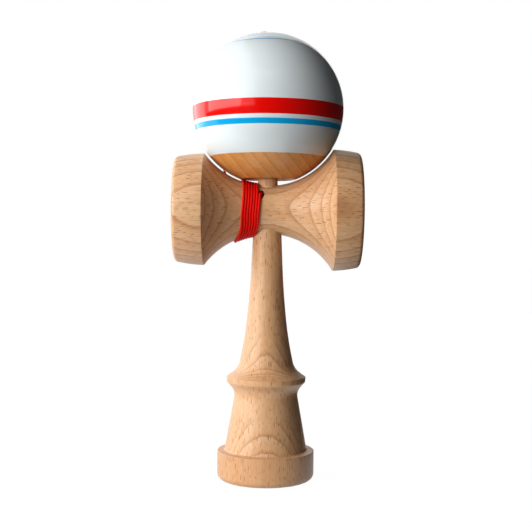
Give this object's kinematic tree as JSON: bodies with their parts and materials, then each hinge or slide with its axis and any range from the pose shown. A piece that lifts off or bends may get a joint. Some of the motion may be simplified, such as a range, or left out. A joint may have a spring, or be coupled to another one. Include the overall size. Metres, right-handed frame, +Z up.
{
  "type": "cup and ball toy",
  "caption": "Turned wooden cup and ball toy: a spiked handle with a cup in its foot, a double cup across it, and a bored, striped ball on a string wound round one arm.",
  "frame": {"origin": "middle of the foot, on the plane that the foot's lip stands on", "axes": "+Z up along the handle to the spike and the ball, +X to the big cup, -X to the small cup, -Y to the front of the picture"},
  "size_m": [0.0734, 0.06, 0.1786],
  "materials": {
    "beech": "fine sanded beech, matt",
    "ball_lacquer": "gloss lacquered wood, white with a red and a blue band, bare wood under clear gloss at the spike hole",
    "string": "braided red cord",
    "bead": "plain turned bead"
  },
  "bodies": {
    "ken": {"ken": "beech", "sarado": "beech", "ken_knot": "string", "string_winding": "string", "string_rise": "string"},
    "bead": {"string_bead": "bead", "bead_knot": "string", "string_neck": "string"},
    "tama": {"tama": "ball_lacquer"}
  },
  "joints": [
    {"name": "tama_lift", "type": "slide", "parent": "ken", "child": "bead", "axis": [0, 0, 1], "range_m": [0, 0.045], "deforming": ["string_rise"]},
    {"name": "tama_spin", "type": "hinge", "parent": "bead", "child": "tama", "pos_m": [0, 0, 0.14729], "axis": [0, 0, 1], "continuous": true}
  ]
}
